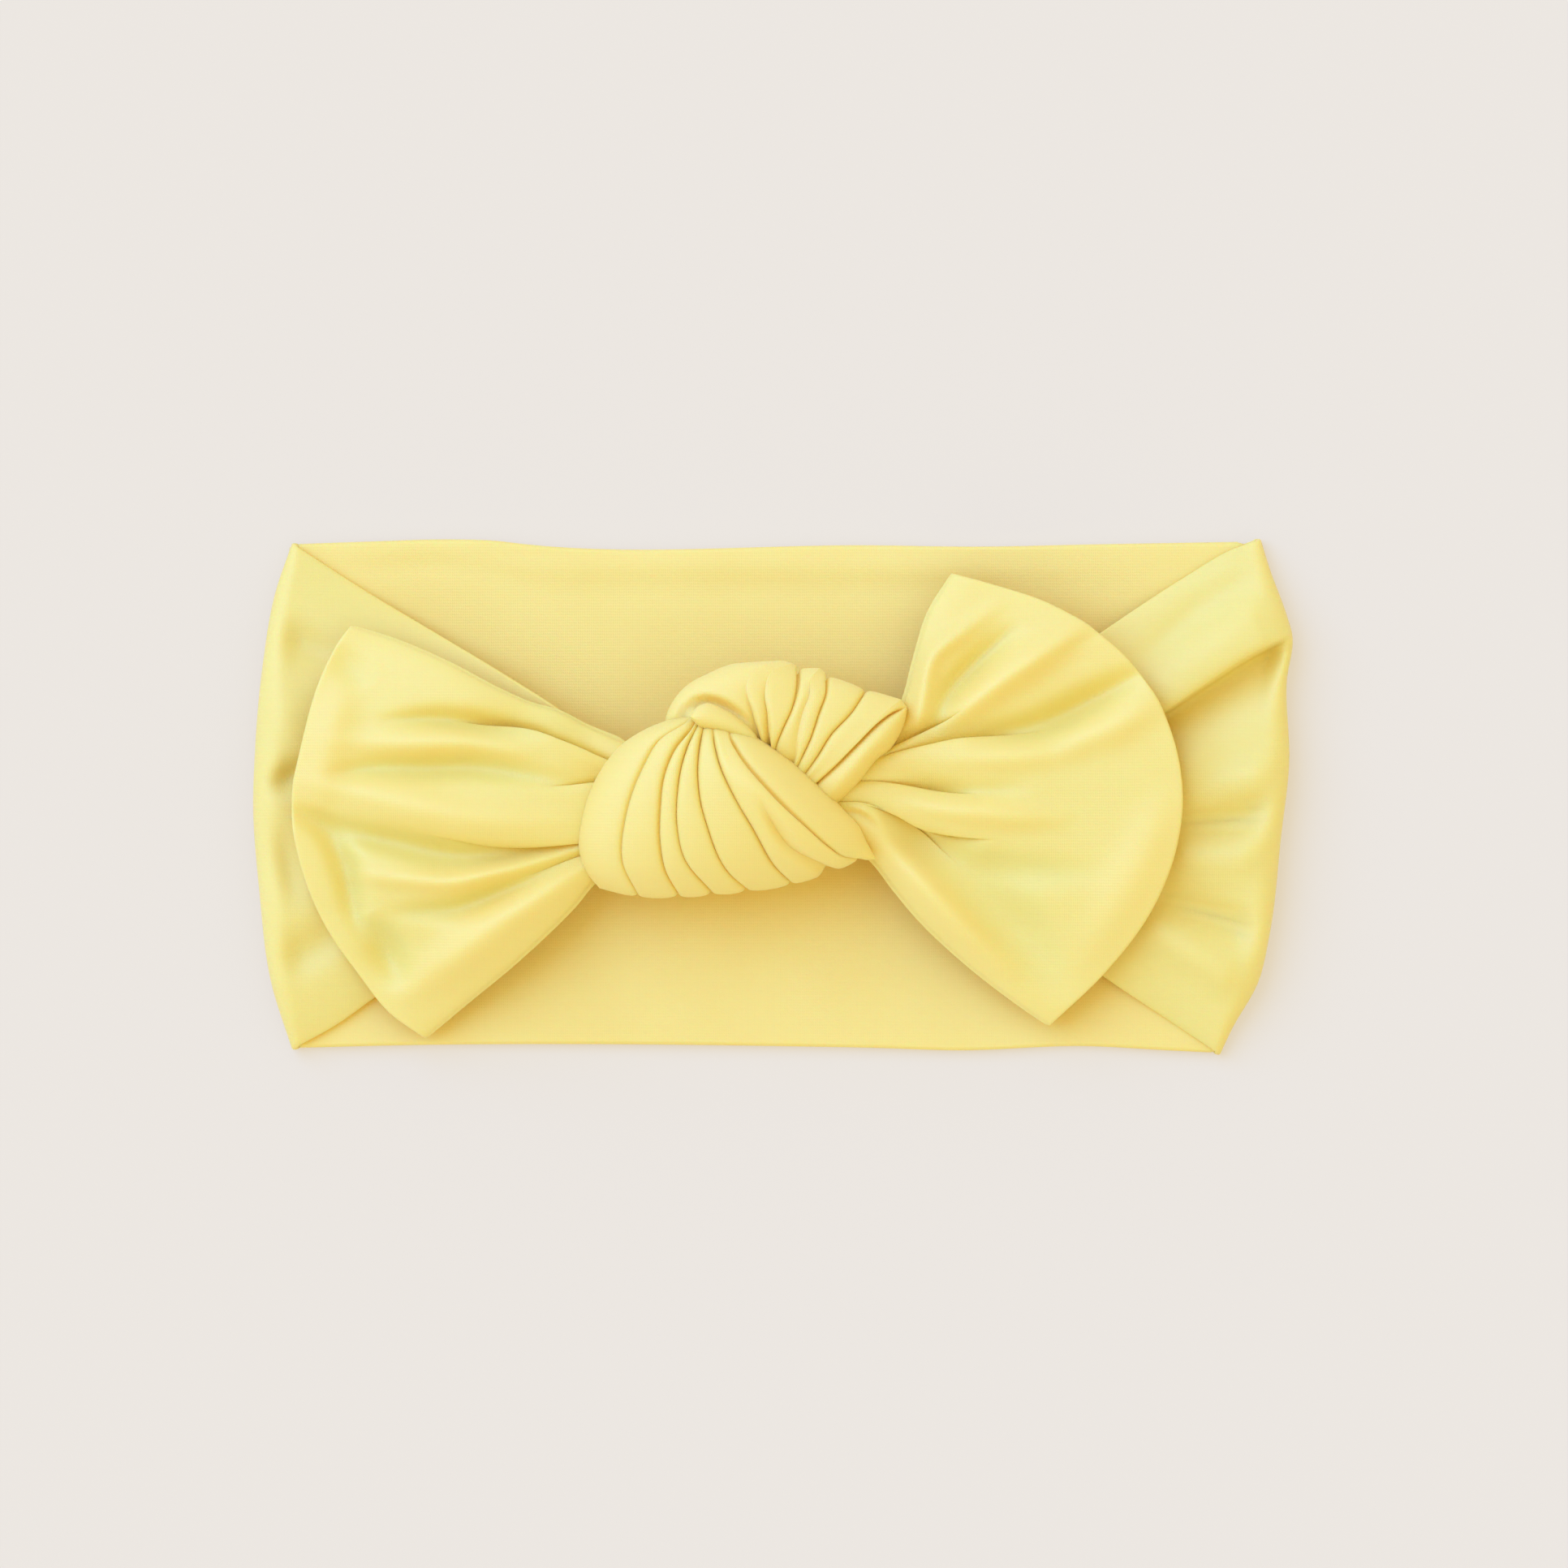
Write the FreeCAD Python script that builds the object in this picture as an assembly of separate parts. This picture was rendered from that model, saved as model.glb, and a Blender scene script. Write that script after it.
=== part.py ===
import FreeCAD, Part
import os

"""Knotted baby headband, lying flat with its bow up.

One long tube of doubled jersey makes a closed loop: a flat back panel, a fold at each
side, and two straps that narrow towards a knot on top. The ends of the tube come out of
the knot as two fanned bow tails. Millimetres: +X runs along the panel, +Y across it and
+Z up. The origin is on the table under the middle of the loop.
"""

V = FreeCAD.Vector

# One layer of jersey, the air between the two layers, and both together
LAYER = 0.8
AIR = 0.1
STACK = 2 * LAYER + AIR
OUTER, LINING = 0.0, LAYER + AIR

# Back panel: its two long edges, and the x where it gives way to each side fold
PANEL_TOP, PANEL_BOTTOM = 40.6, -40.4
PANEL_LEFT, PANEL_RIGHT = -75.0, 68.0
EDGE_STRIP = STACK / 2

# Side folds, from the bottom corner up: y, outermost x, fold radius, x where the strap starts
LEFT_FOLD = [
    (-40.4, -77.6, 1.9, -75.0), (-30.0, -80.3, 3.2, -75.0), (-15.0, -82.8, 4.3, -75.0),
    (0.0, -83.3, 4.5, -75.0), (15.0, -82.7, 4.3, -75.0), (30.0, -80.6, 3.2, -75.0),
    (40.6, -77.8, 1.9, -75.0),
]
RIGHT_FOLD = [
    (-40.4, 72.6, 1.9, 69.0), (-30.0, 78.0, 3.2, 68.0), (-15.0, 80.8, 4.3, 68.0),
    (0.0, 82.6, 4.5, 68.0), (15.0, 82.6, 4.3, 68.0), (26.5, 83.3, 3.6, 68.0),
    (40.6, 78.4, 1.9, 75.0),
]

# Straps: height of the upper face at the loop's edges and along its middle, and the two
# sloping edges seen from above
EDGE_HEIGHT, MIDDLE_HEIGHT = 3.8, 9.0
HALF_WIDTH = 42.0
LEFT_STRAP = ([(-75.0, 39.2), (-45.9, 21.6), (-25.0, 8.6), (-12.0, 4.5)],
              [(-12.0, -5.5), (-30.0, -10.0), (-65.0, -32.0), (-75.0, -39.0)])
RIGHT_STRAP = ([(8.0, 4.5), (22.0, 7.5), (52.0, 25.8), (68.0, 36.6)],
               [(68.0, -38.6), (52.7, -28.3), (24.0, -9.0), (8.0, -5.0)])
RIGHT_PLEAT = ([(26.0, 9.4), (52.0, 24.8), (67.8, 35.2)],
               [(67.8, 17.0), (62.0, 13.2), (46.0, 5.4), (26.0, 1.5)])

# Tails, seen from above: upper edge, hem and lower edge
LEFT_TAIL = ([(-43.0, 16.0), (-51.0, 20.2), (-67.5, 26.4)],
             [(-67.5, 26.4), (-72.8, 16.4), (-76.6, 0.0), (-73.6, -16.0), (-67.0, -29.0), (-55.7, -38.3)],
             [(-55.7, -38.3), (-50.0, -34.0), (-43.0, -28.0)])
RIGHT_TAIL = ([(32.0, -27.5), (38.0, -32.0), (44.2, -36.3)],
              [(44.2, -36.3), (55.8, -24.0), (63.2, -9.0), (65.1, 1.5), (61.6, 14.0), (50.5, 27.5),
               (40.0, 33.4), (28.6, 35.4)],
              [(28.6, 35.4), (27.4, 30.0), (28.4, 25.0), (32.0, 21.8)])
TAIL_SEAM = 1.1
# Upper face of each tail: rows from the knot outwards, each from the lower edge to the upper
LEFT_TAIL_ROWS = [-40.0, -50.0, -64.0, -80.0]
RIGHT_TAIL_ROWS = [26.0, 40.0, 54.0, 68.0]
TAIL_COLUMNS = [-42.0, -21.0, 0.0, 21.0, 42.0]
TAIL_FACE = [
    [8.8, 13.2, 14.6, 13.0, 10.0],
    [8.2, 12.2, 13.6, 12.6, 9.6],
    [7.6, 11.6, 13.0, 12.2, 9.4],
    [7.4, 11.0, 12.4, 11.6, 9.4],
]

# Rolled and wrapped cloth. Each station is x, lowest y, highest y, lowest z, highest z
LEFT_GATHER = [(-31.6, -12.5, 1.0, 10.3, 16.0), (-36.0, -18.5, 7.5, 10.6, 15.4),
               (-40.0, -23.0, 12.0, 11.2, 14.8), (-43.0, -27.0, 15.0, 11.8, 13.9)]
RIGHT_GATHER = [(21.9, -13.0, 12.0, 10.3, 15.4), (25.5, -18.5, 15.5, 10.8, 15.2),
                (29.0, -23.5, 19.0, 11.4, 14.8), (32.0, -26.5, 21.5, 11.9, 14.0)]
FRONT_LOOP = [(-31.0, -13.0, 1.0, 11.0, 19.5), (-28.5, -14.8, 3.4, 10.4, 22.0),
              (-22.0, -16.3, 9.5, 10.0, 24.6), (-14.0, -16.4, 12.6, 9.8, 26.0),
              (-6.0, -15.8, 10.8, 9.8, 25.8), (2.0, -14.6, 6.5, 10.0, 24.2),
              (9.0, -12.6, 0.6, 10.4, 21.4), (15.5, -10.8, -5.0, 12.0, 17.4)]
REAR_LOOP = [(-17.0, 6.5, 15.0, 12.0, 20.5), (-12.0, 3.0, 18.8, 10.5, 23.0),
             (-4.0, 0.0, 21.8, 10.0, 24.4), (4.0, -2.0, 21.5, 10.0, 24.4),
             (12.0, 0.5, 18.9, 10.3, 22.4), (18.0, 6.0, 16.9, 11.0, 19.6),
             (21.1, 9.8, 16.4, 12.5, 17.5)]
LEFT_STRAND = [(-31.0, -11.8, 0.4, 9.7, 16.2), (-24.0, -11.5, 3.5, 9.6, 18.0),
               (-12.0, -11.0, 6.0, 9.6, 20.0), (0.0, -10.2, 3.0, 9.6, 19.0),
               (11.0, -9.4, -2.4, 10.2, 17.0)]
RIGHT_STRAND = [(-12.0, 6.0, 13.6, 10.4, 16.6), (0.0, 3.0, 16.6, 9.7, 18.6),
                (8.0, -1.5, 14.5, 9.6, 18.0), (15.0, -8.0, 12.8, 9.7, 16.8),
                (21.3, -12.2, 12.2, 10.0, 15.6)]
INNER_ROLL = [(-14.2, 11.2, 13.8, 20.6, 23.0), (-9.0, 9.4, 14.6, 21.4, 25.4),
              (-2.4, 6.8, 11.4, 22.4, 25.8)]
UNDER_WRAP = [(-11.5, -5.0, 4.0, 7.5, 11.5), (-2.0, -6.5, 6.5, 7.3, 12.0), (7.5, -5.0, 4.5, 7.5, 11.5)]

# Thread rings that hold the two loops together under the knot
TACKS = [(-4.6, 7.2), (-0.4, 6.8), (3.8, 6.0)]
TACK_RADIUS, TACK_THREAD, TACK_HEIGHT = 1.9, 0.3, 10.0


def curve(points):
    """A smooth edge through points seen from above."""
    if len(points) == 2:
        return Part.makeLine(V(*points[0], 0), V(*points[1], 0))
    spline = Part.BSplineCurve()
    spline.interpolate([V(x, y, 0) for x, y in points])
    return spline.toShape()


def outline(*sides):
    """A closed wire through several smooth sides, joined where they don't meet by lines."""
    edges = []
    for side, following in zip(sides, sides[1:] + sides[:1]):
        edges.append(curve(side))
        if side[-1] != following[0]:
            edges.append(curve([side[-1], following[0]]))
    return Part.Wire(edges)


def inset(sides, distance):
    """The same sides with every point moved towards their common middle."""
    corners = {point for side in sides for point in side}
    middle = sum((V(x, y, 0) for x, y in corners), V()) / len(corners)
    moved = []
    for side in sides:
        inwards = [(middle - V(x, y, 0)).normalize() * distance for x, y in side]
        moved.append([(x + step.x, y + step.y) for (x, y), step in zip(side, inwards)])
    return moved


def prism(wire):
    solid = Part.Face(wire).extrude(V(0, 0, 45))
    solid.translate(V(0, 0, -5))
    return solid


def face_through(rows):
    """A smooth face through a grid of points."""
    surface = Part.BSplineSurface()
    surface.interpolate([[V(*point) for point in row] for row in rows])
    return surface.toShape()


def cloth(face, depth, thickness, within):
    """A piece of cloth whose upper side lies `depth` below a face."""
    low = face.copy()
    low.translate(V(0, 0, -depth - thickness))
    return low.extrude(V(0, 0, thickness)).common(within)


def roll(stations):
    """A rolled or wrapped mass of cloth through oval sections across X."""
    wires = []
    for x, y_low, y_high, z_low, z_high in stations:
        oval = Part.Ellipse(V(), (y_high - y_low) / 2, (z_high - z_low) / 2).toShape()
        oval.rotate(V(), V(1, 1, 1), 120)
        oval.translate(V(x, (y_low + y_high) / 2, (z_low + z_high) / 2))
        wires.append(Part.Wire([oval]))
    return Part.makeLoft(wires, True, False)


def back_panel(parts):
    length, y_low = PANEL_RIGHT - PANEL_LEFT, PANEL_BOTTOM + EDGE_STRIP
    width = PANEL_TOP - EDGE_STRIP - y_low
    for name, height in (("outer", 0.0), ("lining", LAYER + AIR)):
        corner = V(PANEL_LEFT, y_low, height)
        parts[f"back_panel_{name}"] = Part.makeBox(length, width, LAYER, corner)
    for name, y, inwards in (("top_edge_fold", PANEL_TOP, -1), ("bottom_edge_seam", PANEL_BOTTOM, 1)):
        y_flat = y + inwards * EDGE_STRIP
        low, high = V(PANEL_LEFT, y_flat, 0), V(PANEL_LEFT, y_flat, STACK)
        arc = Part.Arc(low, V(PANEL_LEFT, y, STACK / 2), high).toShape()
        section = Part.Wire([arc, Part.makeLine(high, low)])
        parts[f"back_panel_{name}"] = Part.Face(section).extrude(V(length, 0, 0))


def fold_section(station, panel_x, side, depth):
    """C-shaped section of one layer of a side fold at one y."""
    y, edge_x, radius, strap_x = station
    turn_x = edge_x - side * radius
    outside, inside = radius - depth, radius - depth - LAYER

    def corner(x, z):
        return V(x, y, radius + z)

    corners = [
        corner(panel_x, -outside), corner(turn_x, -outside), corner(turn_x, outside),
        corner(strap_x, outside), corner(strap_x, inside), corner(turn_x, inside),
        corner(turn_x, -inside), corner(panel_x, -inside),
    ]
    edges = [Part.makeLine(a, b) for a, b in zip(corners, corners[1:] + corners[:1])]
    edges[1] = Part.Arc(corners[1], corner(turn_x + side * outside, 0), corners[2]).toShape()
    edges[5] = Part.Arc(corners[5], corner(turn_x + side * inside, 0), corners[6]).toShape()
    return Part.Wire(edges)


def side_folds(parts):
    for side_name, stations, panel_x, side in (
        ("left", LEFT_FOLD, PANEL_LEFT, -1), ("right", RIGHT_FOLD, PANEL_RIGHT, 1),
    ):
        for name, depth in (("outer", OUTER), ("lining", LINING)):
            sections = [fold_section(station, panel_x, side, depth) for station in stations]
            parts[f"{side_name}_side_fold_{name}"] = Part.makeLoft(sections, True, False)


def strap_face(fold_x, knot_x):
    """Upper face of a strap: arched at the side fold, level where it meets the knot."""
    rows = []
    for share in (0.0, 0.33, 0.67, 1.0):
        x = fold_x + share * (knot_x - fold_x)
        row = []
        for y in (-42.0, -28.0, -14.0, 0.0, 14.0, 28.0, 42.0):
            arch = MIDDLE_HEIGHT - (MIDDLE_HEIGHT - EDGE_HEIGHT) * (y / HALF_WIDTH) ** 2
            row.append((x, y, arch + share * (MIDDLE_HEIGHT - arch)))
        rows.append(row)
    return face_through(rows)


def straps(parts):
    left, right = strap_face(PANEL_LEFT, -11.0), strap_face(PANEL_RIGHT, 7.0)
    for side, face, sides in (("left", left, LEFT_STRAP), ("right", right, RIGHT_STRAP)):
        for name, depth in (("outer", OUTER), ("lining", LINING)):
            parts[f"{side}_strap_{name}"] = cloth(face, depth, LAYER, prism(outline(*sides)))
    parts["right_strap_pleat"] = cloth(right, -LAYER - AIR, LAYER, prism(outline(*RIGHT_PLEAT)))


def tails(parts):
    for side, rows_x, sides, gather in (
        ("left", LEFT_TAIL_ROWS, LEFT_TAIL, LEFT_GATHER),
        ("right", RIGHT_TAIL_ROWS, RIGHT_TAIL, RIGHT_GATHER),
    ):
        face = face_through([
            [(x, y, z) for y, z in zip(TAIL_COLUMNS, heights)]
            for x, heights in zip(rows_x, TAIL_FACE)
        ])
        whole, inside = prism(outline(*sides)), prism(outline(*inset(sides, TAIL_SEAM)))
        for name, depth in (("outer", OUTER), ("lining", LINING)):
            parts[f"{side}_tail_{name}"] = cloth(face, depth, LAYER, inside)
        parts[f"{side}_tail_edge_seam"] = cloth(face, OUTER, STACK, whole).cut(inside)
        parts[f"{side}_tail_gather"] = roll(gather)


def tack_stitches():
    rings = []
    for x, y in TACKS:
        ring = Part.makeTorus(TACK_RADIUS, TACK_THREAD, V(), V(1, 0, 0))
        ring.translate(V(x, y, TACK_HEIGHT))
        rings.append(ring)
    return Part.makeCompound(rings)


def knot(parts):
    """Each loop arches over a rolled strand that carries on into one of the tails."""
    stitches = tack_stitches()
    front, left_strand = roll(FRONT_LOOP), roll(LEFT_STRAND)
    right_strand = roll(RIGHT_STRAND).cut(front).cut(left_strand)
    rear = roll(REAR_LOOP).cut(front).cut(left_strand).cut(right_strand)
    tongue = roll(INNER_ROLL).cut(front).cut(rear)
    under = roll(UNDER_WRAP).cut(front).cut(left_strand).cut(right_strand).cut(rear)
    pieces = {
        "front_loop": front.cut(left_strand), "rear_loop": rear, "inner_roll": tongue,
        "left_strand": left_strand, "right_strand": right_strand, "under_wrap": under,
    }
    for name, piece in pieces.items():
        parts[f"knot_{name}"] = piece.cut(stitches)
    parts["knot_tack_stitches"] = stitches


def main():
    parts = {}
    back_panel(parts)
    side_folds(parts)
    straps(parts)
    tails(parts)
    knot(parts)
    os.makedirs("parts", exist_ok=True)
    for name, shape in parts.items():
        print(name, len(shape.Solids), "solids", shape.isValid(), round(shape.Volume, 1), "mm3")
        shape.exportStep(f"parts/{name}.step")


main()
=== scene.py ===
import math
from dataclasses import dataclass

import bpy
import numpy as np
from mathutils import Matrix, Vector


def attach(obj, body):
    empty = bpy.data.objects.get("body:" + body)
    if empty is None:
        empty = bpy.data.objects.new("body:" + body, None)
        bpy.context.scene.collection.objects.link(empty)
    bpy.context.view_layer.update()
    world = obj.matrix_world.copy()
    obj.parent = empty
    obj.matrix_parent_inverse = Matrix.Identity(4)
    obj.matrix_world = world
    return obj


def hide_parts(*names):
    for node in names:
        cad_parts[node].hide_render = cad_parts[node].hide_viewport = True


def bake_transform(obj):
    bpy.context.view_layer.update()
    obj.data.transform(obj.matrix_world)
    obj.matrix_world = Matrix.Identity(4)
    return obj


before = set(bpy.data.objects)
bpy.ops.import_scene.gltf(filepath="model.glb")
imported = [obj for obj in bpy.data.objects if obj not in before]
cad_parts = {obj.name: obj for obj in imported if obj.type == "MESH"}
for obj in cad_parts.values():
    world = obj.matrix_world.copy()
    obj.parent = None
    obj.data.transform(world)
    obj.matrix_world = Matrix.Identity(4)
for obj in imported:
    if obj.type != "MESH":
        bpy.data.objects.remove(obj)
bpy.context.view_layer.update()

MM = 0.001

# Outlines are plan views in millimetres: X to the right, Y away from the viewer, and the floor at
# Z = 0. A sheet is given by a few curves side by side. u counts across the curves, and v runs
# along them from 0 to 1.
#
# Soft folds are ridges and valleys in the cloth. Each is given by the points it runs along, its
# width, and its height, which is negative for a valley.

# ---------------------------------------------------------------- curves and grids

SPAN_STEPS = 16     # between two given points of a curve
HEM_STEPS = 600     # along a tail's hem
FOLD_STEPS = 400    # along a side fold
TINY = 1e-6         # keeps a length above zero


def spline(points, count=160):
    """Points evenly spaced along a smooth curve through the given ones."""
    given = np.asarray(points, float)
    gap = np.linalg.norm(np.diff(given, axis=0), axis=1)[:, None]
    slope = np.diff(given, axis=0) / gap
    inner = (slope[:-1] * gap[1:] + slope[1:] * gap[:-1]) / (gap[:-1] + gap[1:])
    tangent = np.vstack([slope[:1], inner, slope[-1:]])
    t = np.linspace(0, 1, SPAN_STEPS, endpoint=False)[None, :, None]
    start, end, length = given[:-1, None], given[1:, None], gap[:, None]
    fine = ((2 * t ** 3 - 3 * t ** 2 + 1) * start + (3 * t ** 2 - 2 * t ** 3) * end
            + (t ** 3 - 2 * t ** 2 + t) * length * tangent[:-1, None]
            + (t ** 3 - t ** 2) * length * tangent[1:, None])
    fine = np.vstack([fine.reshape(-1, given.shape[1]), given[-1:]])
    step = np.linalg.norm(np.diff(fine, axis=0), axis=1)
    reach = np.concatenate([[0], np.cumsum(step)])
    at = np.linspace(0, reach[-1], count)
    return np.stack([np.interp(at, reach, axis) for axis in fine.T], axis=1)


def along(curve, v):
    """Points of a curve at shares v of its length."""
    line = spline(curve)
    share = np.linspace(0, 1, len(line))
    return np.stack([np.interp(v, share, axis) for axis in line.T], axis=-1)


def onto(outline, ends, u, steps):
    """Points of an outline at the places u, where it passes the curves' ends at whole u."""
    edge = spline(outline, steps)
    nearest = [np.argmin(np.linalg.norm(edge - end, axis=1)) for end in ends]
    at = np.interp(u, np.arange(len(ends)), nearest)
    return np.stack([np.interp(at, np.arange(steps), axis) for axis in edge.T], axis=1)


def lattice(curves, u, v, hem=None):
    """Plan of a sheet, and its curves at the places v. Where there is a hem, v = 1 lies on it."""
    lines = np.stack([along(curve, v) for curve in curves])
    low = np.clip(np.floor(u).astype(int), 0, len(curves) - 2)
    part = (u - low)[:, None, None]
    plan = lines[low] * (1 - part) + lines[low + 1] * part
    if hem is not None:
        target = onto(hem, lines[:, -1], u, HEM_STEPS)
        plan = plan + (v ** 2)[None, :, None] * (target - plan[:, -1])[:, None]
    return plan, lines


def spread(count, per_pleat, gather):
    """Places across a sheet of `count` pleats, closer together beside each crease."""
    t = np.linspace(0, 1, per_pleat, endpoint=False)
    t = t - gather * np.sin(2 * math.pi * t) / (2 * math.pi)
    return np.append((np.arange(count)[:, None] + t).ravel(), count)


def smooth(value, low, high):
    """0 up to low, 1 from high on, and a soft step between them."""
    t = np.clip((value - low) / (high - low), 0, 1)
    return t * t * (3 - 2 * t)


def groove(distance, width, kind):
    """0 at a crease to 1 beside it. kind 0.5 is a round lip, 1 a slope and 2 a soft valley."""
    t = np.clip(distance / width, 0, 1)
    return (1 - (1 - t) ** 2) ** kind


@dataclass
class Crease:
    """Where two pleats meet. A span is a pair of places v that something grows between."""
    depth: float             # of the groove
    width: float             # of the groove, on each side
    kind: float = 0.5        # the groove's profile, as groove() says
    crown: float = 0.2       # how far the pleats sink from their middles to the crease
    grow: tuple = (-2, -1)   # the span where the crease starts
    fade: tuple = (2, 3)     # the span where it dies away
    before: tuple = (0, 1)   # how far the cloth on its low side drops, and how wide that strip is
    after: tuple = (0, 1)    # the same for its high side
    sink: tuple = (-2, -1)   # the span where those drops start
    lap: float = 0.0         # how far its high side hangs over it, or its low side if negative


LAP_REACH = 1.1         # how far from its crease a lap pulls the cloth along
LAP_START = 0.15        # the strip beside the crease that stays where it is
NARROWEST_PLEAT = 0.05  # keeps a pleat's half width above zero where its creases meet


def pleats(plan, lines, u, v, creases):
    """How far each place lies below its pleat's top, how far it drops beside the creases, and the
    plan with the laps."""
    cut = np.zeros(plan.shape[:2])
    fall = np.zeros(plan.shape[:2])
    moved = plan.copy()
    for index, crease in creases.items():
        towards = lines[index][None] - plan
        distance = np.linalg.norm(towards, axis=2)
        strength = (smooth(v, *crease.grow) * (1 - smooth(v, *crease.fade)))[None]
        before = (u <= index)[:, None]
        low_pleat = np.linalg.norm(lines[index] - lines[index - 1], axis=1)[None]
        high_pleat = np.linalg.norm(lines[index + 1] - lines[index], axis=1)[None]
        half_pleat = 0.5 * np.where(before, low_pleat, high_pleat) + NARROWEST_PLEAT
        width = np.minimum(crease.width, half_pleat)
        deep = crease.depth * (1 - groove(distance, width, crease.kind))
        deep = deep + crease.crown * (1 - groove(distance, half_pleat, 0.5))
        cut = np.maximum(cut, strength * deep)
        sinking = strength * smooth(v, *crease.sink)[None]
        for side, (drop, reach) in ((before, crease.before), (~before, crease.after)):
            fall += np.where(side, sinking * drop * np.exp(-(distance / reach) ** 2), 0)
        over = before if crease.lap < 0 else ~before
        pull = strength * abs(crease.lap) * np.exp(-(distance / LAP_REACH) ** 2)
        pull = pull * smooth(distance, 0, LAP_START)
        unit = towards / np.maximum(distance, TINY)[..., None]
        moved += np.where(over, pull, 0)[..., None] * unit
    return cut, fall, moved


RIDGE_STEPS = 20
RIDGE_OVERRUN = 0.4    # how far it runs on past its end points, as a share of the span there
RIDGE_TAPER = 1.2
END_WIDTH = 0.65       # its width at the ends, as a share of the width in its middle


def ridge(plan, points, width, height):
    """Height of one soft fold, which tapers to its two ends."""
    given = np.asarray(points, float)
    first = given[:1] + RIDGE_OVERRUN * (given[:1] - given[1:2])
    last = given[-1:] + RIDGE_OVERRUN * (given[-1:] - given[-2:-1])
    line = spline(np.vstack([first, given, last]), RIDGE_STEPS + 1)
    nearest = np.full(plan.shape[:-1], np.inf)
    share = np.zeros(plan.shape[:-1])
    for i, (start, end) in enumerate(zip(line, line[1:])):
        step = end - start
        t = np.clip(((plan - start) * step).sum(-1) / (step @ step), 0, 1)
        distance = np.linalg.norm(plan - start - t[..., None] * step, axis=-1)
        closer = distance < nearest
        nearest = np.where(closer, distance, nearest)
        share = np.where(closer, (i + t) / RIDGE_STEPS, share)
    strength = np.sin(math.pi * share) ** RIDGE_TAPER
    reach = width * (END_WIDTH + (1 - END_WIDTH) * strength)
    return height * strength * np.exp(-(nearest / reach) ** 2)


def relief(plan, soft_folds):
    """Height of all the soft folds together."""
    return sum(ridge(plan, *fold) for fold in soft_folds)


# ---------------------------------------------------------------- meshes

WELD_DISTANCE = 0.001 * MM
RIM_STEPS = 4       # rings of points round a cloth's cut edge
RIM_BULGE = 0.6     # 1 is a half circle


def build(name, points, faces):
    """A closed mesh of four-sided faces, turned so that its normals point outwards."""
    points, faces = np.asarray(points), np.asarray(faces)
    a, b, c, d = (points[faces[:, i]] for i in range(4))
    if (a * (np.cross(b, c) + np.cross(c, d))).sum() < 0:
        faces = faces[:, ::-1]
    mesh = bpy.data.meshes.new(name)
    mesh.from_pydata((points * MM).tolist(), [], faces.tolist())
    mesh.update()
    obj = bpy.data.objects.new(name, mesh)
    bpy.context.scene.collection.objects.link(obj)
    modifier = obj.modifiers.new("weld", "WELD")
    modifier.merge_threshold = WELD_DISTANCE
    depsgraph = bpy.context.evaluated_depsgraph_get()
    welded = bpy.data.meshes.new_from_object(obj.evaluated_get(depsgraph))
    obj.modifiers.clear()
    obj.data = welded
    for polygon in welded.polygons:
        polygon.use_smooth = True
    return obj


def quads(rows, columns, first=0, wrap=False, flip=False):
    """Faces of a grid whose points are numbered row by row from `first`. wrap joins each row's
    end to its start."""
    faces = []
    for i in range(rows - 1):
        for j in range(columns if wrap else columns - 1):
            k = (j + 1) % columns
            face = [first + i * columns + j, first + i * columns + k,
                    first + (i + 1) * columns + k, first + (i + 1) * columns + j]
            faces.append(face[::-1] if flip else face)
    return faces


def perimeter(rows, columns):
    """The grid places round a grid's edge, in order."""
    top = [(0, j) for j in range(columns)]
    right = [(i, columns - 1) for i in range(1, rows)]
    bottom = [(rows - 1, j) for j in range(columns - 2, -1, -1)]
    left = [(i, 0) for i in range(rows - 2, 0, -1)]
    return top + right + bottom + left


def shell(name, upper, lower):
    """A closed cloth between two grids, with a rounded rim."""
    rows, columns = upper.shape[:2]
    size = rows * columns
    points = [upper.reshape(-1, 3), lower.reshape(-1, 3)]
    faces = quads(rows, columns) + quads(rows, columns, size, flip=True)
    loop = perimeter(rows, columns)
    high = np.array([upper[i, j] for i, j in loop])
    low = np.array([lower[i, j] for i, j in loop])
    inner = np.array([upper[min(max(i, 1), rows - 2), min(max(j, 1), columns - 2)] for i, j in loop])
    out = high - inner
    lift = high - low
    thick = np.linalg.norm(lift, axis=1, keepdims=True)
    axis = lift / np.maximum(thick, TINY)
    out = out - (out * axis).sum(1, keepdims=True) * axis
    out = out / np.maximum(np.linalg.norm(out, axis=1, keepdims=True), TINY)
    rings = [[i * columns + j for i, j in loop]]
    total = 2 * size
    for k in range(1, RIM_STEPS + 1):
        angle = math.pi * k / (RIM_STEPS + 1)
        points.append((high + low) / 2 + lift / 2 * math.cos(angle)
                      + out * thick / 2 * RIM_BULGE * math.sin(angle))
        rings.append(list(range(total, total + len(loop))))
        total += len(loop)
    rings.append([size + i * columns + j for i, j in loop])
    for a, b in zip(rings, rings[1:]):
        for j in range(len(loop)):
            k = (j + 1) % len(loop)
            faces.append([b[j], b[k], a[k], a[j]])
    return build(name, np.vstack(points), faces)


def normals(grid):
    """A unit normal at each point of a grid."""
    across = np.gradient(grid, axis=0)
    onward = np.gradient(grid, axis=1)
    normal = np.cross(across, onward)
    return normal / np.maximum(np.linalg.norm(normal, axis=2, keepdims=True), 1e-9)


# ---------------------------------------------------------------- materials


def two_tone(nodes, low, high):
    """A colour ramp between two stops, each a position and a colour."""
    ramp = nodes.new("ShaderNodeValToRGB")
    for element, (position, colour) in zip(ramp.color_ramp.elements, (low, high)):
        element.position = position
        element.color = (*colour, 1)
    return ramp


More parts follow.
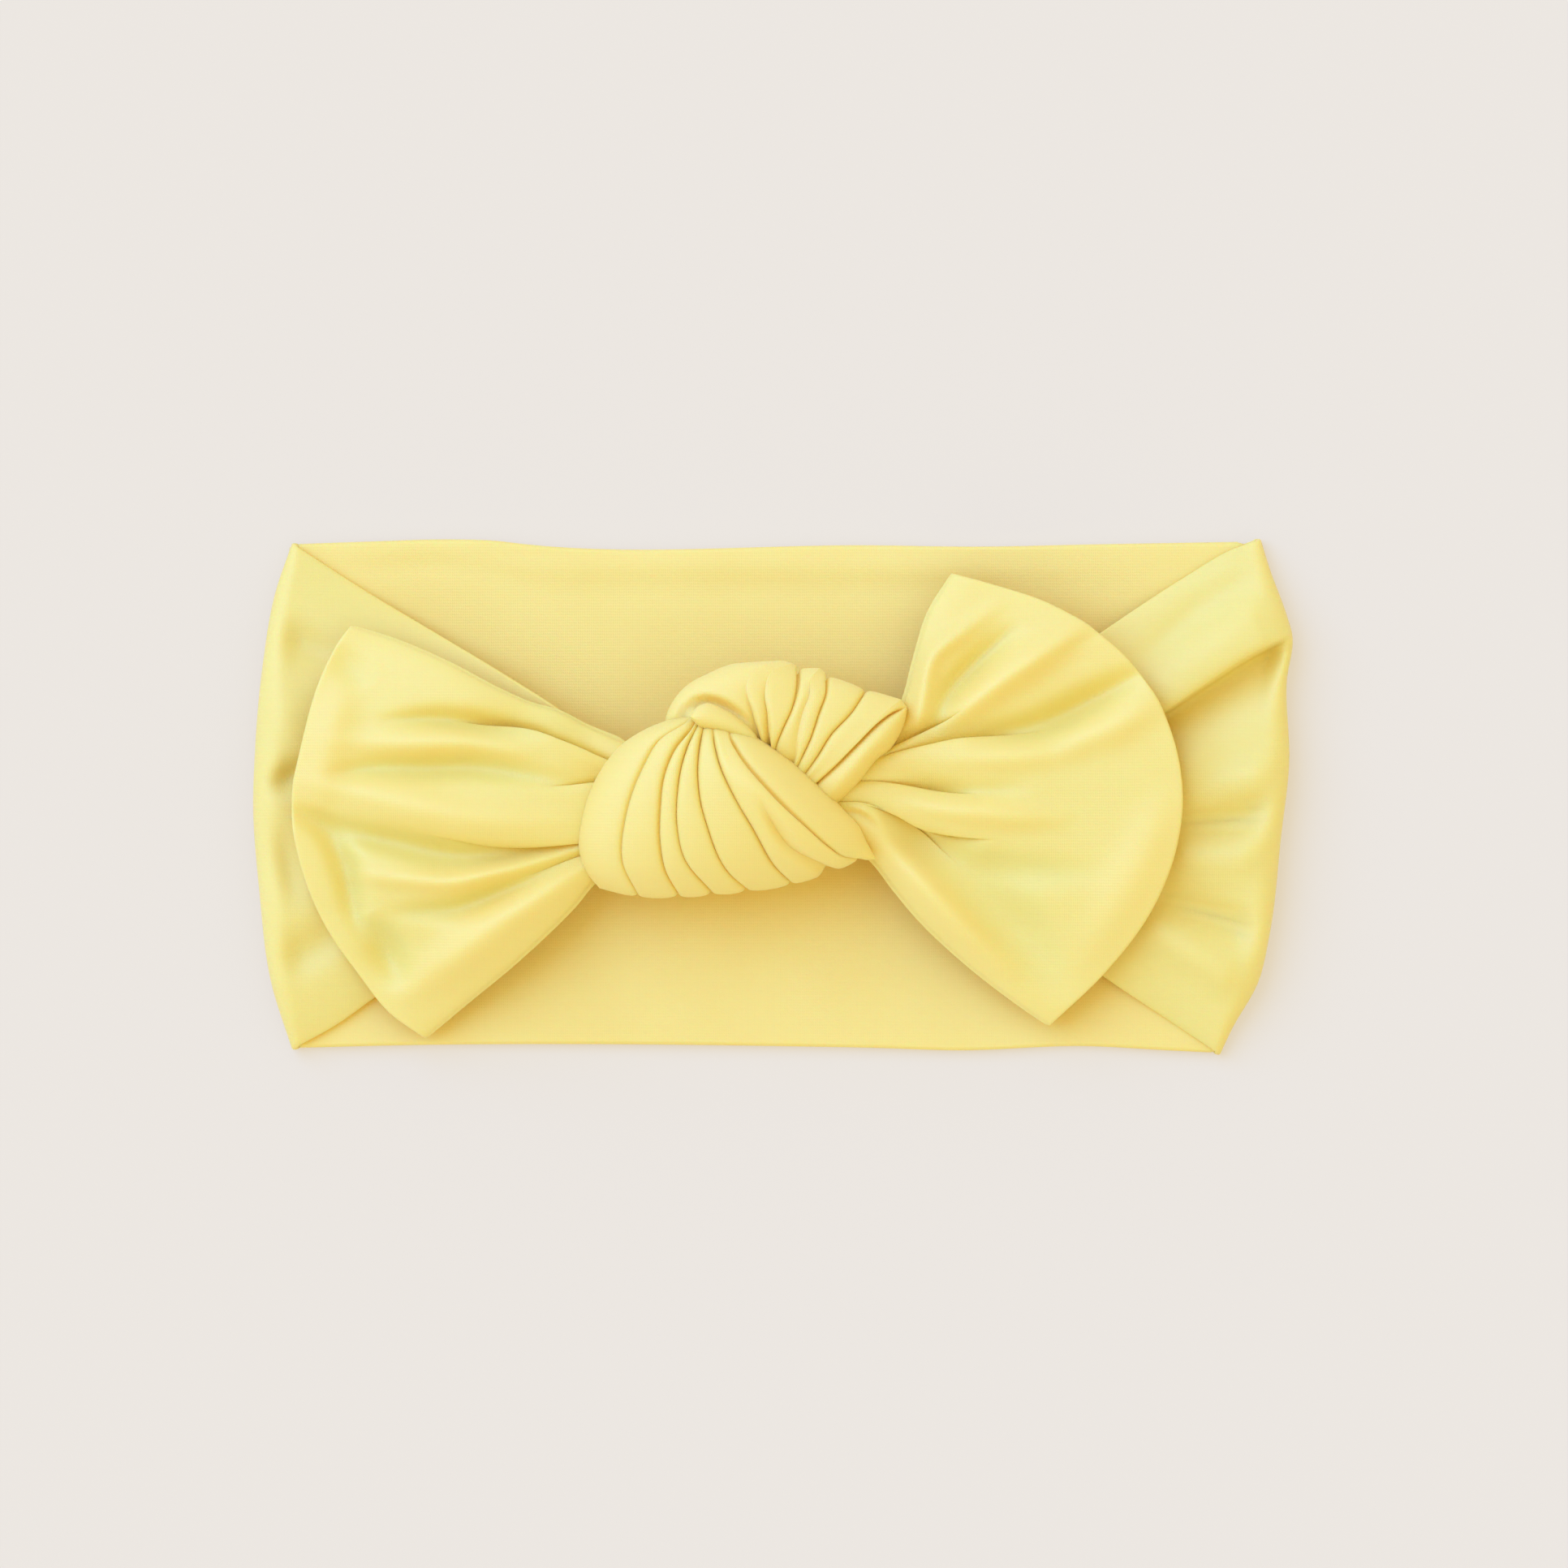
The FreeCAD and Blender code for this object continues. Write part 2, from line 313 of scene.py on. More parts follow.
def fabric(name, colour, shade):
    """Fine jersey: soft tone changes, painted shade that makes hollows warmer and darker, rib-like knit
    grain and a satin sheen.
    """
    material = bpy.data.materials.new(name)
    material.use_nodes = True
    nodes, links = material.node_tree.nodes, material.node_tree.links
    nodes.clear()
    out = nodes.new("ShaderNodeOutputMaterial")
    shader = nodes.new("ShaderNodeBsdfPrincipled")
    links.new(shader.outputs["BSDF"], out.inputs["Surface"])
    shader.inputs["Subsurface Weight"].default_value = 0.35
    shader.inputs["Subsurface Radius"].default_value = (1.0, 0.45, 0.15)
    shader.inputs["Subsurface Scale"].default_value = 0.003
    shader.inputs["Sheen Weight"].default_value = 0.25
    shader.inputs["Sheen Roughness"].default_value = 0.45
    shader.inputs["Sheen Tint"].default_value = (1.0, 0.95, 0.7, 1)
    shader.inputs["Specular IOR Level"].default_value = 0.65
    coordinates = nodes.new("ShaderNodeTexCoord")

    def noise(scale, detail):
        texture = nodes.new("ShaderNodeTexNoise")
        texture.inputs["Scale"].default_value = scale
        texture.inputs["Detail"].default_value = detail
        links.new(coordinates.outputs["Object"], texture.inputs["Vector"])
        return texture

    def bands(direction, scale):
        texture = nodes.new("ShaderNodeTexWave")
        texture.bands_direction = direction
        texture.inputs["Scale"].default_value = scale
        texture.inputs["Distortion"].default_value = 1.2
        texture.inputs["Detail"].default_value = 1.0
        links.new(coordinates.outputs["Object"], texture.inputs["Vector"])
        return texture

    def combine(operation, first, second):
        result = nodes.new("ShaderNodeMath")
        result.operation = operation
        links.new(first, result.inputs[0])
        links.new(second, result.inputs[1])
        return result.outputs["Value"]

    tone = two_tone(nodes, (0.3, shade), (0.7, colour))
    links.new(noise(60.0, 4.0).outputs["Fac"], tone.inputs["Fac"])
    # Painted shade: ambient occlusion turns the base colour warmer and darker in creases, hollows and
    # under overlapping cloth.
    painted_shade_occlusion = nodes.new("ShaderNodeAmbientOcclusion")
    painted_shade_occlusion.samples = 6
    painted_shade_occlusion.inputs["Distance"].default_value = 0.018
    # depth is the painted shade's colour: strongest in deep hollows, none in the open.
    depth = two_tone(nodes, (0.25, (1.0, 0.88, 0.61)), (0.95, (1, 1, 1)))
    links.new(painted_shade_occlusion.outputs["AO"], depth.inputs["Fac"])
    painted_shade_tint = nodes.new("ShaderNodeMix")
    painted_shade_tint.data_type = "RGBA"
    painted_shade_tint.blend_type = "MULTIPLY"
    painted_shade_tint.inputs["Factor"].default_value = 1.0
    links.new(tone.outputs["Color"], painted_shade_tint.inputs["A"])
    links.new(depth.outputs["Color"], painted_shade_tint.inputs["B"])
    links.new(painted_shade_tint.outputs["Result"], shader.inputs["Base Color"])

    wales, courses = bands("X", 900.0), bands("Y", 700.0)
    grain = noise(2200.0, 2.0)
    knit = combine("MULTIPLY", wales.outputs["Fac"], courses.outputs["Fac"])
    bump = nodes.new("ShaderNodeBump")
    bump.inputs["Strength"].default_value = 0.3
    bump.inputs["Distance"].default_value = 0.0001
    links.new(combine("ADD", knit, grain.outputs["Fac"]), bump.inputs["Height"])
    links.new(bump.outputs["Normal"], shader.inputs["Normal"])

    rough = nodes.new("ShaderNodeMapRange")
    rough.inputs["To Min"].default_value = 0.5
    rough.inputs["To Max"].default_value = 0.6
    links.new(grain.outputs["Fac"], rough.inputs["Value"])
    links.new(rough.outputs["Result"], shader.inputs["Roughness"])
    return material


JERSEY = fabric("butter jersey", (0.925, 0.80, 0.285), (0.91, 0.775, 0.26))
THREAD = fabric("sewing thread", (0.87, 0.70, 0.22), (0.83, 0.64, 0.19))


def in_jersey(piece):
    """The piece, made of the jersey."""
    piece.data.materials.append(JERSEY)
    return piece


# ---------------------------------------------------------------- back panel

PANEL_TOP = [(-77.2, 40.6), (-66.0, 41.0), (-51.0, 41.4), (-45.0, 41.2), (-40.0, 40.6),
             (16.5, 40.4), (32.0, 40.2), (53.0, 40.6), (75.5, 41.0)]
PANEL_BOTTOM = [(-77.0, -40.3), (-61.5, -39.9), (1.0, -40.0), (16.5, -40.3), (29.5, -40.7),
                (50.3, -40.0), (63.3, -40.7), (71.3, -41.1)]
PANEL_THICK = 1.7
PANEL_HALF_WIDTH = 41.0
PANEL_FOLDS = [
    ([(-50, 36.5), (-20, 36.8), (20, 36.6), (50, 36.4)], 2.2, 0.25),
    ([(-40, 33), (0, 33.5), (40, 33)], 3.0, -0.2),
    ([(-66, 37), (-52, 37), (-40, 35)], 2.0, -0.3),
]
PANEL_STATIONS = np.linspace(0, 1, 150)
PANEL_PLACES = 0.5 - 0.5 * np.cos(np.linspace(0, math.pi, 90))
END_BOW = 2.6
EDGE_INSET = 0.3 * PANEL_THICK    # room for the rounded rim
INSET_SPAN = (30, 40)             # in Y, from the middle outwards
EDGE_ROUND = 0.35
EDGE_ROUND_WIDTH = 4.0
PANEL_UNDERSIDE = 0.03


def back_panel():
    """The flat back of the tube, with a rounded rim and its ends bowed out under the folds."""
    u, v = PANEL_PLACES, PANEL_STATIONS
    plan, _ = lattice([PANEL_BOTTOM, PANEL_TOP], u, v)
    bow = END_BOW * np.sin(math.pi * u)[:, None]
    plan[..., 0] += np.where(v < 0.5, -1, 1)[None] * bow * np.abs(2 * v - 1)[None] ** 6
    side = np.sign(plan[..., 1])
    plan[..., 1] -= side * EDGE_INSET * smooth(np.abs(plan[..., 1]), *INSET_SPAN)
    to_edge = PANEL_HALF_WIDTH - np.abs(plan[..., 1])
    top = PANEL_THICK + EDGE_ROUND * groove(to_edge, EDGE_ROUND_WIDTH, 0.5) + relief(plan, PANEL_FOLDS)
    upper = np.dstack([plan, top])
    lower = np.dstack([plan, np.full(plan.shape[:2], PANEL_UNDERSIDE)])
    panel = in_jersey(shell("back_panel", upper, lower))
    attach(panel, "back_band")
    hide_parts("back_panel_outer", "back_panel_lining", "back_panel_top_edge_fold",
                "back_panel_bottom_edge_seam")


# ---------------------------------------------------------------- straps and side folds

LEFT_FOLD = [(-77.4, 40.6), (-80.0, 32.8), (-82.0, 21.1), (-83.3, 5.5), (-83.5, -0.4),
             (-82.5, -15.3), (-80.7, -29.6), (-77.4, -40.4)]
RIGHT_FOLD = [(78.3, 41.3), (79.7, 36.7), (82.5, 28.9), (83.3, 26.0), (82.4, 18.5), (82.8, 5.5),
              (81.5, -6.2), (79.7, -21.8), (77.9, -29.6), (73.6, -37.4), (71.8, -41.3)]
LEFT_STRAP = [
    [(-77.4, 40.6), (-66.7, 33.7), (-54.1, 26.1), (-45.2, 20.7), (-38.1, 16.2), (-24.0, 7.4),
     (-10.0, 3.0)],
    [(-83.4, 0.0), (-55.0, 0.0), (-24.0, 0.0), (-10.0, -0.4)],
    [(-77.4, -40.4), (-69.5, -36.0), (-64.1, -32.1), (-40.0, -17.5), (-24.0, -7.4), (-10.0, -3.6)],
]
RIGHT_STRAP = [
    [(78.3, 41.3), (73.5, 39.6), (65.7, 35.0), (52.0, 25.9), (38.0, 16.4), (20.0, 6.2), (6.0, 2.8)],
    [(83.3, 26.3), (76.7, 22.9), (69.5, 18.2), (62.9, 13.8), (55.5, 10.0), (20.0, 1.0), (6.0, 0.2)],
    [(71.8, -41.3), (64.6, -36.5), (52.8, -28.6), (38.0, -17.0), (20.0, -6.6), (6.0, -3.2)],
]
LEFT_STRAP_FOLDS = [
    ([(-83.0, 2.4), (-80.0, 2.4), (-76.0, 3.6), (-71.0, 5.0)], 2.2, -2.2),
    ([(-80.5, 27.5), (-76.0, 24.6), (-70.0, 22.0)], 3.0, -1.7),
    ([(-80.0, 16.0), (-77.5, 9.5)], 3.4, 0.6),
    ([(-81.0, -4.5), (-78.5, -10.0), (-76.5, -16.0)], 3.2, -1.2),
    ([(-81.0, -27.5), (-75.5, -25.0), (-69.5, -21.5)], 3.0, -1.8),
]
RIGHT_STRAP_FOLDS = [
    ([(81.0, 33.0), (73.0, 27.0), (66.0, 22.4), (60.0, 18.4)], 3.2, 1.4),
    ([(78.0, 36.0), (70.0, 31.0), (61.0, 24.0)], 2.8, -0.9),
    ([(88.0, 31.0), (81.0, 27.0), (74.0, 22.6), (66.0, 18.0), (58.0, 14.0)], 4.0, 1.9),
    ([(58.0, 22.0), (64.0, 11.0), (66.0, 0.0), (64.0, -10.0)], 5.5, 1.1),
    ([(84.0, 6.0), (79.0, 3.8), (72.0, 2.4)], 2.6, 1.5),
    ([(61.0, -4.0), (72.0, -4.0), (84.0, -0.5)], 2.3, -2.6),
    ([(64.0, -9.4), (74.0, -9.6), (84.0, -6.0)], 2.8, 1.7),
    ([(61.0, -15.4), (71.0, -19.2), (82.0, -24.5)], 2.3, -2.7),
    ([(59.0, -20.0), (69.0, -26.4), (78.0, -33.0)], 2.6, 2.0),
]
RIGHT_STRAP_CREASES = {
    1: Crease(depth=0.5, width=1.4, crown=0.3, after=(4.8, 8.0)),
}
STRAP_STATIONS = np.linspace(0, 1, 110) ** 1.3    # closer together at the fold
STRAP_GATHER = 0.5
HEADING_STATION = 4             # the one that a fold's cloth heads for
START_PULL = 6                  # how soon the strap leaves the fold's outline
STRAP_THICK = 1.5
STRAP_UNDERSIDE = 0.1
FULLEST = 0.8                   # the share of the fold's radius that its cloth may fill
FOLD_HALF_LENGTH = 41.5
TIP_RADIUS = 1.2                # of the fold at its two corners
RADIUS_GAIN = 3.3               # how much more it is in its middle
FULLNESS = 0.7                  # a smaller one keeps the fold full nearer to its corners
SLACK_GROW = (1.0, 1.04)        # in u
SLACK_FADE = (1.35, 1.9)
STRAP_LEVEL = 9.0               # the strap's height beside the knot
LEVEL_SPAN = (0.1, 0.7)         # in v, from the fold's height to that one
KNOT_CLIMB = 2.4                # how much higher it ends, inside the knot
CLIMB_SPAN = (0.84, 1.0)
CREASE_SETTLE = (0.3, 5.0)      # how far from the fold its creases start
SOFT_SETTLE = (0.5, 6.0)        # and its soft folds
BEND_STEPS = 8
LEG_STEPS = 3
LEG_START = 1.0                 # the flat leg beneath the fold
LEG_END = 6.0


def strap(name, curves, fold, creases, soft_folds, per_pleat, slack=0.0):
    """A strap with the side fold that it comes out of, from the panel's underside to the knot.
    slack is how much thinner the fold is just past its first crease."""
    u = spread(len(curves) - 1, per_pleat, STRAP_GATHER)
    v = STRAP_STATIONS
    plan, lines = lattice(curves, u, v)
    start = onto(fold, lines[:, 0], u, FOLD_STEPS)
    plan = plan + ((1 - v) ** START_PULL)[None, :, None] * (start - plan[:, 0])[:, None]
    cut, fall, moved = pleats(plan, lines, u, v, creases)
    fullness = (1 - (start[:, 1] / FOLD_HALF_LENGTH) ** 2) ** FULLNESS
    radius = TIP_RADIUS + RADIUS_GAIN * fullness
    radius *= 1 - slack * smooth(u, *SLACK_GROW) * (1 - smooth(u, *SLACK_FADE))
    heading = plan[:, HEADING_STATION] - plan[:, 0]
    heading /= np.linalg.norm(heading, axis=1, keepdims=True)

    run = np.linalg.norm(plan - plan[:, :1], axis=2)
    fold_top = 2 * radius[:, None]
    level = fold_top + (STRAP_LEVEL - fold_top) * smooth(v, *LEVEL_SPAN)[None]
    level = level + KNOT_CLIMB * smooth(v, *CLIMB_SPAN)[None]
    curl = np.clip(run / radius[:, None], 0, 1)
    height = radius[:, None] + (level - radius[:, None]) * np.sqrt(1 - (1 - curl) ** 2)
    settle = smooth(run, *CREASE_SETTLE)
    height -= settle * (cut + fall)
    plan = plan + settle[..., None] * (moved - plan)
    height += smooth(run, *SOFT_SETTLE) * relief(plan, soft_folds)
    top = np.dstack([plan, height])

    angle = np.linspace(-math.pi / 2, 0, BEND_STEPS, endpoint=False)
    bend_run = radius[:, None] * (1 - np.cos(angle))
    bend_plan = start[:, None] + heading[:, None] * bend_run[..., None]
    bend = np.dstack([bend_plan, radius[:, None] * (1 + np.sin(angle))])
    leg_run = np.linspace(LEG_END, LEG_START, LEG_STEPS, endpoint=False)
    leg_plan = start[:, None] + heading[:, None] * (radius[:, None] + leg_run - LEG_START)[..., None]
    leg = np.dstack([leg_plan, np.zeros(leg_plan.shape[:2])])
    outer = np.concatenate([leg, bend, top], axis=1)

    outward = normals(outer)
    if outward[:, -len(v) // 4:, 2].mean() < 0:
        outward = -outward
    outward[:, :LEG_STEPS] = (0, 0, -1)
    inward = np.minimum(STRAP_THICK, FULLEST * radius)[:, None, None]
    lining = outer - outward * inward
    lining[..., 2] = np.maximum(lining[..., 2], STRAP_UNDERSIDE)
    return shell(name, outer, lining)


def straps():
    """The two straps. They run from the folds to the knot."""
    left = strap("left_strap", LEFT_STRAP, LEFT_FOLD, {}, LEFT_STRAP_FOLDS, 40)
    right = strap("right_strap", RIGHT_STRAP, RIGHT_FOLD, RIGHT_STRAP_CREASES, RIGHT_STRAP_FOLDS, 46,
                  slack=0.16)
    for side, piece, start_x, end_x in (("left", left, -0.080, -0.026), ("right", right, 0.078, 0.022)):
        in_jersey(piece)
        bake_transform(piece)
        nodes = [f"{side}_side_fold_outer", f"{side}_side_fold_lining", f"{side}_strap_outer",
                 f"{side}_strap_lining"]
        if side == "right":
            nodes.append("right_strap_pleat")
        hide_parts(*nodes)


# ---------------------------------------------------------------- tails

LEFT_TAIL = [
    [(-18.0, 6.0), (-24.4, 8.8), (-30.0, 11.3), (-34.5, 13.6), (-39.0, 14.9), (-43.7, 16.9),
     (-51.9, 21.2), (-60.7, 25.0), (-67.4, 27.2)],
    [(-18.0, 2.5), (-24.4, 4.8), (-32.9, 8.5), (-38.1, 10.4), (-45.9, 11.4), (-56.0, 12.8),
     (-73.7, 13.5)],
    [(-18.0, 0.0), (-27.0, 2.2), (-32.9, 1.9), (-39.4, 1.6), (-47.2, 2.8), (-58.0, 4.2), (-75.9, 4.4)],
    [(-18.0, -5.5), (-29.6, -6.9), (-39.4, -7.7), (-44.6, -7.7), (-52.4, -6.6), (-62.8, -4.7),
     (-76.8, -0.8)],
    [(-18.0, -8.0), (-29.6, -9.1), (-39.4, -12.7), (-45.9, -14.7), (-56.3, -16.9), (-72.3, -19.0)],
    [(-18.0, -10.0), (-28.3, -12.9), (-32.1, -17.3), (-41.0, -25.9), (-50.8, -34.1), (-55.8, -38.4)],
]
LEFT_HEM = [(-67.4, 27.2), (-69.4, 24.6), (-72.3, 18.5), (-74.8, 9.1), (-76.6, 0.8), (-76.8, -2.5),
            (-75.5, -10.1), (-72.0, -19.5), (-66.2, -28.3), (-61.2, -34.5), (-55.8, -38.4)]
RIGHT_TAIL = [
    [(8.0, 3.5), (15.4, 5.4), (18.2, 8.8), (20.0, 12.8), (21.4, 16.8), (22.6, 21.4), (25.0, 29.4),
     (28.6, 35.5)],
    [(8.0, 3.2), (13.9, 5.0), (18.6, 7.6), (24.4, 10.4), (27.6, 12.2), (32.1, 15.4), (37.3, 18.4),
     (43.8, 22.0), (51.9, 25.9)],
    [(8.0, 2.6), (12.6, 4.4), (17.4, 6.1), (21.5, 7.3), (25.6, 8.3), (29.6, 9.1), (34.8, 9.6),
     (41.2, 10.3), (45.6, 11.2), (50.0, 13.6), (58.3, 19.5)],
    [(8.0, 1.0), (13.8, 2.4), (16.5, 2.3), (20.9, 1.7), (25.6, 0.8), (35.4, 0.6), (45.1, 0.9),
     (65.1, 2.0)],
    [(6.0, -0.2), (10.8, -0.7), (13.7, -0.7), (17.2, -1.6), (19.8, -2.7), (23.3, -4.6),
     (29.6, -6.3), (39.8, -6.9), (64.2, -7.5)],
    [(6.0, -1.0), (10.8, -1.0), (13.7, -1.1), (17.2, -2.1), (19.8, -3.2), (23.3, -5.2),
     (27.3, -8.8), (32.8, -13.4), (41.2, -18.1), (56.5, -23.5)],
    [(6.0, -3.0), (9.6, -3.4), (11.0, -4.4), (12.8, -7.0), (15.8, -9.9), (19.2, -14.3),
     (23.3, -19.2), (29.4, -25.1), (40.4, -33.8), (44.1, -36.4)],
]
RIGHT_HEM = [(28.6, 35.5), (33.8, 34.1), (44.9, 30.3), (51.9, 25.9), (58.5, 19.5), (63.4, 10.1),
             (65.1, 0.8), (64.1, -7.9), (60.2, -17.9), (53.0, -27.8), (44.1, -36.4)]
LEFT_TAIL_CREASES = {
    1: Crease(depth=1.0, width=1.6, fade=(0.42, 0.62), before=(2.2, 4.5), sink=(0.05, 0.25), lap=0.4),
    2: Crease(depth=0.9, width=1.5, fade=(0.16, 0.34), before=(1.0, 3.5), sink=(0.05, 0.2), lap=0.3),
    3: Crease(depth=1.2, width=1.6, fade=(0.34, 0.66), after=(1.8, 3.5), sink=(0.1, 0.3), lap=-0.6),
    4: Crease(depth=0.9, width=2.6, kind=1.4, fade=(0.2, 0.45), before=(0.4, 3.0)),
}
RIGHT_TAIL_CREASES = {
    1: Crease(depth=0.9, width=1.3, fade=(0.32, 0.52), before=(1.8, 3.0), sink=(0.1, 0.35), lap=0.4),
    2: Crease(depth=1.1, width=1.6, fade=(0.4, 0.7), before=(2.4, 4.5), sink=(0.1, 0.4), lap=0.5),
    3: Crease(depth=1.0, width=1.5, fade=(0.3, 0.46), before=(1.6, 3.2), sink=(0.1, 0.3), lap=0.4),
    4: Crease(depth=1.2, width=1.5, fade=(0.3, 0.52), after=(4.0, 6.5), sink=(0.15, 0.35), lap=-0.6),
    5: Crease(depth=0.5, width=2.4, kind=1.2, grow=(0.14, 0.24), fade=(0.2, 0.5), before=(1.4, 4.0),
              sink=(0.15, 0.4), lap=0.2),
}
LEFT_TAIL_FOLDS = [
    ([(-61.0, 12.2), (-54.0, 12.5), (-48.0, 11.8), (-42.0, 10.8), (-37.0, 10.0)], 1.8, -2.6),
    ([(-68.0, 9.0), (-58.0, 8.6), (-48.0, 8.6), (-40.0, 7.2)], 2.2, 1.6),
    ([(-71.0, 3.4), (-64.0, 4.6), (-56.0, 4.7), (-48.0, 4.8), (-40.0, 3.6), (-33.0, 2.4)], 2.2, -2.7),
    ([(-75.0, 2.4), (-66.0, 0.6), (-58.0, -1.4), (-50.0, -3.0), (-42.0, -3.8), (-33.0, -4.2)], 3.0, 2.0),
    ([(-75.5, -2.4), (-68.0, -5.4), (-60.0, -7.4), (-52.0, -9.2), (-44.0, -9.4),
      (-36.0, -8.4)], 2.3, -3.4),
    ([(-67.0, -12.4), (-58.0, -13.2), (-52.0, -13.6), (-44.0, -11.8), (-36.0, -9.8),
      (-31.0, -8.7)], 1.6, 1.9),
    ([(-59.0, -18.4), (-50.0, -17.6), (-43.0, -15.2), (-37.0, -12.6), (-31.5, -10.2)], 2.0, -2.5),
    ([(-59.0, -31.0), (-50.0, -25.0), (-42.0, -19.0), (-33.0, -13.0)], 3.4, 2.8),
    ([(-75.4, -3.0), (-71.0, -6.4), (-68.6, -11.0), (-67.4, -17.0), (-66.2, -22.0)], 2.2, -2.9),
    ([(-64.0, -20.6), (-61.6, -25.4), (-59.5, -29.4)], 3.0, -3.0),
    ([(-72.4, 0.5), (-71.4, 8.0), (-69.0, 16.0)], 3.6, 1.7),
    ([(-69.4, 22.8), (-66.0, 19.0)], 2.4, -0.9),
]
RIGHT_TAIL_FOLDS = [
    ([(35.5, 30.6), (30.0, 26.4), (25.4, 22.4), (23.8, 16.0), (23.0, 10.5)], 1.5, 2.0),
    ([(38.0, 26.4), (33.0, 21.8), (29.0, 17.6), (26.0, 12.4)], 2.0, -3.0),
    ([(49.0, 27.0), (42.0, 22.4), (35.0, 17.6), (29.0, 12.6)], 2.6, 3.1),
    ([(59.0, 20.0), (51.0, 15.6), (43.0, 11.8), (34.0, 9.8)], 2.4, -3.7),
    ([(60.5, 14.6), (54.0, 11.0), (47.0, 8.4)], 2.6, 1.6),
    ([(28.0, 6.2), (38.0, 6.4), (47.0, 7.0)], 2.2, 1.2),
    ([(20.0, 1.4), (27.0, 0.8), (33.0, 0.9), (39.0, 1.4)], 1.8, -1.0),
    ([(22.0, -1.4), (30.0, -2.2), (38.0, -3.0), (45.5, -3.4)], 2.2, 1.7),
    ([(22.0, -6.8), (31.0, -10.2), (39.0, -11.6), (50.0, -12.0)], 3.0, -1.6),
    ([(51.0, -24.0), (57.0, -14.0), (62.5, -2.0)], 4.0, 1.3),
    ([(25.0, -9.0), (33.0, -15.0), (40.0, -22.0), (45.0, -30.0)], 4.4, -2.6),
    ([(17.0, -6.0), (23.0, -13.0), (30.0, -20.6), (37.0, -27.4)], 2.4, 2.2),
    ([(11.7, -2.4), (13.4, -2.6), (14.9, -3.5), (16.4, -5.0)], 0.6, -0.5),
    ([(13.0, -1.6), (16.0, -2.9), (18.0, -4.8)], 0.8, 0.5),
]
TAIL_STATIONS = np.linspace(0, 1, 150)
TAIL_PER_PLEAT = 30
TAIL_GATHER = 0.8
CROWN_DEGREE = 4            # of the smooth curves through crown and edge_drop
TAIL_THICK = 1.7
THINNEST = 0.8
FIRST_CURL_WIDTH = 4.5
LAST_CURL_WIDTH = 5.5
LEAN_CURVE = 1.5
THROAT_TOP = 12.2           # the lowest that the cloth's top and underside lie inside the knot
THROAT_UNDERSIDE = 11.0
THROAT_SPAN = (0.08, 0.3)   # in v
THROAT_PADDING = 2.0        # how much thicker the gathered cloth is there
PADDING_FALL = 5            # how soon that dies away
HEM_PINCH = 0.6             # how much thinner the hem is
HEM_PINCH_REACH = 3.0


def tail(name, curves, hem, creases, soft_folds, crown, edge_drop, first_lean, last_lean):
    """A fan of doubled jersey: gathered at the knot, with pleats that die away to the hem.
    crown is the height along its middle from the knot to the hem, and edge_drop how far its two
    sides curl down. Each lean is how far one corner of the hem hangs lower, and how far in from
    the side that starts, in u."""
    u = spread(len(curves) - 1, TAIL_PER_PLEAT, TAIL_GATHER)
    v = TAIL_STATIONS
    plan, lines = lattice(curves, u, v, hem)
    cut, fall, moved = pleats(plan, lines, u, v, creases)
    stations = np.linspace(0, 1, len(crown))
    middle = np.polyval(np.polyfit(stations, crown, CROWN_DEGREE), v)[None]
    drop = np.polyval(np.polyfit(stations, edge_drop, CROWN_DEGREE), v)[None]
    last_u = len(curves) - 1
    lean = (first_lean[0] * (1 - smooth(u, 0, first_lean[1]))
            + last_lean[0] * smooth(u, last_u - last_lean[1], last_u))
    lean = lean[:, None] * v[None] ** LEAN_CURVE
    from_first = np.linalg.norm(plan - plan[:1], axis=2)
    from_last = np.linalg.norm(plan - plan[-1:], axis=2)
    curl = 2 - groove(from_first, FIRST_CURL_WIDTH, 0.5) - groove(from_last, LAST_CURL_WIDTH, 0.5)
    base = middle - lean - drop * curl
    height = base - cut - fall + relief(plan, soft_folds)
    inside = 1 - smooth(v, *THROAT_SPAN)[None]
    height = np.maximum(height, THROAT_TOP * inside)
    from_hem = np.linalg.norm(plan - plan[:, -1:], axis=2)
    pinch = HEM_PINCH * np.exp(-from_hem / HEM_PINCH_REACH)
    padding = THROAT_PADDING * (1 - v[None]) ** PADDING_FALL
    under = base - TAIL_THICK + pinch - padding - 0.5 * fall
    under = np.minimum(np.maximum(under, THROAT_UNDERSIDE * inside), height - THINNEST)
    return shell(name, np.dstack([moved, height]), np.dstack([plan, under]))


def tails():
    """The two tails."""
    left = tail("left_tail", LEFT_TAIL, LEFT_HEM, LEFT_TAIL_CREASES, LEFT_TAIL_FOLDS,
                crown=[14.8, 14.6, 15.9, 15.5, 14.2, 12.8], edge_drop=[1.6, 2.6, 2.6, 2.2, 1.8, 1.6],
                first_lean=(1.0, 1.0), last_lean=(6.0, 1.8))
    right = tail("right_tail", RIGHT_TAIL, RIGHT_HEM, RIGHT_TAIL_CREASES, RIGHT_TAIL_FOLDS,
                 crown=[16.0, 15.6, 15.0, 14.2, 13.6, 12.8], edge_drop=[1.4, 2.4, 2.6, 2.2, 1.8, 1.6],
                 first_lean=(3.0, 1.2), last_lean=(5.0, 1.8))
    for side, piece, start_x, end_x in (("left", left, -0.024, -0.040), ("right", right, 0.012, 0.030)):
        in_jersey(piece)
        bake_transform(piece)
        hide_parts(f"{side}_tail_outer", f"{side}_tail_lining", f"{side}_tail_edge_seam",
                    f"{side}_tail_gather", f"knot_{side}_strand")


# ---------------------------------------------------------------- knot

